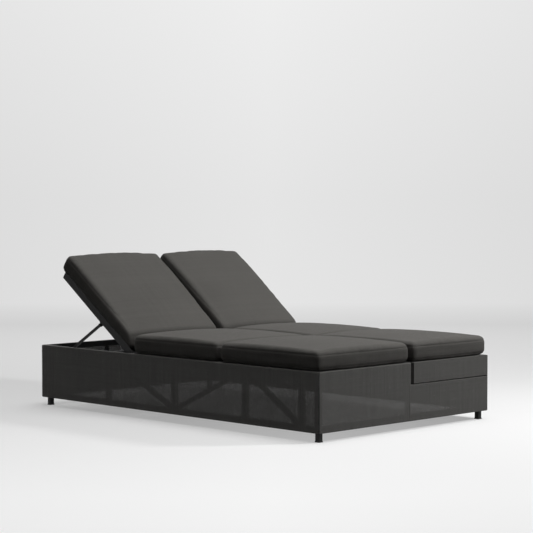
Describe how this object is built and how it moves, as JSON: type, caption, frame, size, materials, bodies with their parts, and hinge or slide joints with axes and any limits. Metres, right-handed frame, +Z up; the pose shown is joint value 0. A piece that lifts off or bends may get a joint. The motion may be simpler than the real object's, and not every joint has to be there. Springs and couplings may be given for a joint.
{
  "type": "double chaise lounger",
  "caption": "Low box-framed double chaise lounger in black mesh with loose cushions, backrests that prop up on notched racks, and a pull-out foot tray.",
  "frame": {"origin": "on the floor under the middle of the base", "axes": "+X from the head end to the foot end, +Y from the near side to the far side, +Z up"},
  "size_m": [2.03, 1.22, 0.8059],
  "materials": {
    "black_frame": "matt powder coat over aluminium tube",
    "mesh": "open-weave coated outdoor mesh",
    "sling": "tight coated sling cloth",
    "cushion_cloth": "plain-woven outdoor cloth over foam",
    "black_plastic": "moulded nylon",
    "steel_pins": "plain turned steel",
    "tray_metal": "folded and powder-coated sheet"
  },
  "bodies": {
    "base": {"near_side_mesh": "mesh", "far_side_mesh": "mesh", "head_end_mesh": "mesh", "foot_near_mesh": "mesh", "foot_lower_mesh": "mesh", "near_top_rail": "black_frame", "far_top_rail": "black_frame", "near_bottom_rail": "black_frame", "far_bottom_rail": "black_frame", "head_top_rail": "black_frame", "head_bottom_rail": "black_frame", "foot_top_rail": "black_frame", "foot_bottom_rail": "black_frame", "tray_sill_rail": "black_frame", "foot_divider": "black_frame", "head_posts": "black_frame", "near_head_leg": "black_frame", "near_foot_leg": "black_frame", "far_head_leg": "black_frame", "far_foot_leg": "black_frame", "leg_glides": "black_plastic", "side_posts": "black_frame", "side_braces": "black_frame", "centre_beam": "black_frame", "foot_beam": "black_frame", "deck_beams": "black_frame", "deck_slings": "sling", "rack_hangers": "black_frame", "prop_racks": "black_frame", "hinge_brackets": "black_frame", "tray_guides": "black_frame", "near_seat_cushion": "cushion_cloth", "far_seat_cushion": "cushion_cloth", "near_foot_cushion": "cushion_cloth", "far_foot_cushion": "cushion_cloth"},
    "near_backrest": {"near_back_outer_rail": "black_frame", "near_back_inner_rail": "black_frame", "near_back_top_rail": "black_frame", "near_back_lower_rail": "black_frame", "near_back_sling": "sling", "near_back_pins": "steel_pins", "near_back_cushion": "cushion_cloth", "near_strut_lugs": "black_frame"},
    "near_strut": {"near_strut_legs": "black_frame", "near_strut_foot_bar": "black_frame"},
    "far_backrest": {"far_back_outer_rail": "black_frame", "far_back_inner_rail": "black_frame", "far_back_top_rail": "black_frame", "far_back_lower_rail": "black_frame", "far_back_sling": "sling", "far_back_pins": "steel_pins", "far_back_cushion": "cushion_cloth", "far_strut_lugs": "black_frame"},
    "far_strut": {"far_strut_legs": "black_frame", "far_strut_foot_bar": "black_frame"},
    "tray": {"tray_box": "tray_metal", "tray_runners": "black_plastic", "tray_front_board": "tray_metal", "tray_front_mesh": "mesh"}
  },
  "joints": [
    {"name": "near_backrest_tilt", "type": "hinge", "parent": "base", "child": "near_backrest", "pos_m": [-0.297, 0, 0.3], "axis": [0, 1, 0], "range_deg": [-35.5, 15]},
    {"name": "near_strut_swing", "type": "hinge", "parent": "near_backrest", "child": "near_strut", "pos_m": [-0.56377, 0, 0.44606], "axis": [0, 1, 0], "range_deg": [-28.1, 66.4]},
    {"name": "far_backrest_tilt", "type": "hinge", "parent": "base", "child": "far_backrest", "pos_m": [-0.297, 0, 0.3], "axis": [0, 1, 0], "range_deg": [-35.5, 15]},
    {"name": "far_strut_swing", "type": "hinge", "parent": "far_backrest", "child": "far_strut", "pos_m": [-0.56377, 0, 0.44606], "axis": [0, 1, 0], "range_deg": [-28.1, 66.4]},
    {"name": "tray_slide", "type": "slide", "parent": "base", "child": "tray", "axis": [1, 0, 0], "range_m": [0, 0.32]}
  ],
  "couplings": [
    {"joint": "near_strut_swing", "follows": "near_backrest_tilt", "ratio": -1.867},
    {"joint": "far_strut_swing", "follows": "far_backrest_tilt", "ratio": -1.867}
  ]
}
